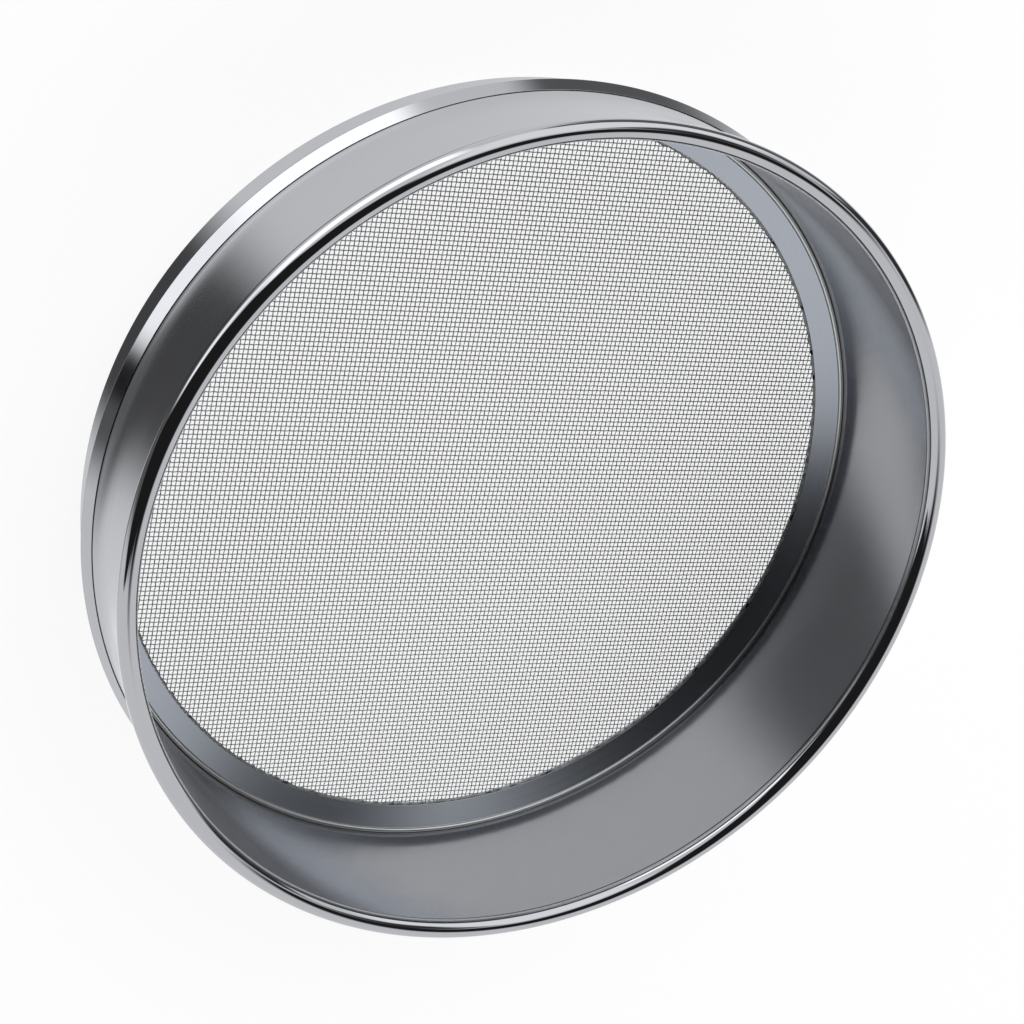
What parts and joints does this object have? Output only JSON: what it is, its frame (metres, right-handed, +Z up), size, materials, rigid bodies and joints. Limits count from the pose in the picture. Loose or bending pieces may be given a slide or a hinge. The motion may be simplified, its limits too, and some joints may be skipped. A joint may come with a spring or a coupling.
{
  "type": "soil sieve",
  "caption": "Round stacking soil sieve: spun metal wall with a rolled rim, a nesting foot ring and a clamped woven wire cloth.",
  "frame": {"origin": "centre of the foot, on the plane of the foot ring's lower edge", "axes": "+Z up along the sieve's axis towards the open mouth; X and Y run along the two directions of the cloth's wires"},
  "size_m": [0.2094, 0.2094, 0.0486],
  "materials": {
    "chromed_steel": "bright chrome plating over a spun steel wall, polished on the rolled rim and satin on the wall",
    "foot_chrome": "bright chrome plating, polished",
    "ring_steel": "fine turned steel with a soft satin shine",
    "cloth_wire": "drawn stainless wire, plain woven",
    "solder": "dull soft solder, slightly uneven"
  },
  "bodies": {
    "root": {"upper_frame": "chromed_steel", "foot_ring": "foot_chrome", "clamp_ring": "ring_steel", "wire_cloth": "cloth_wire", "support_ring": "ring_steel", "lip_solder": "solder", "seam_solder": "solder"}
  },
  "joints": []
}
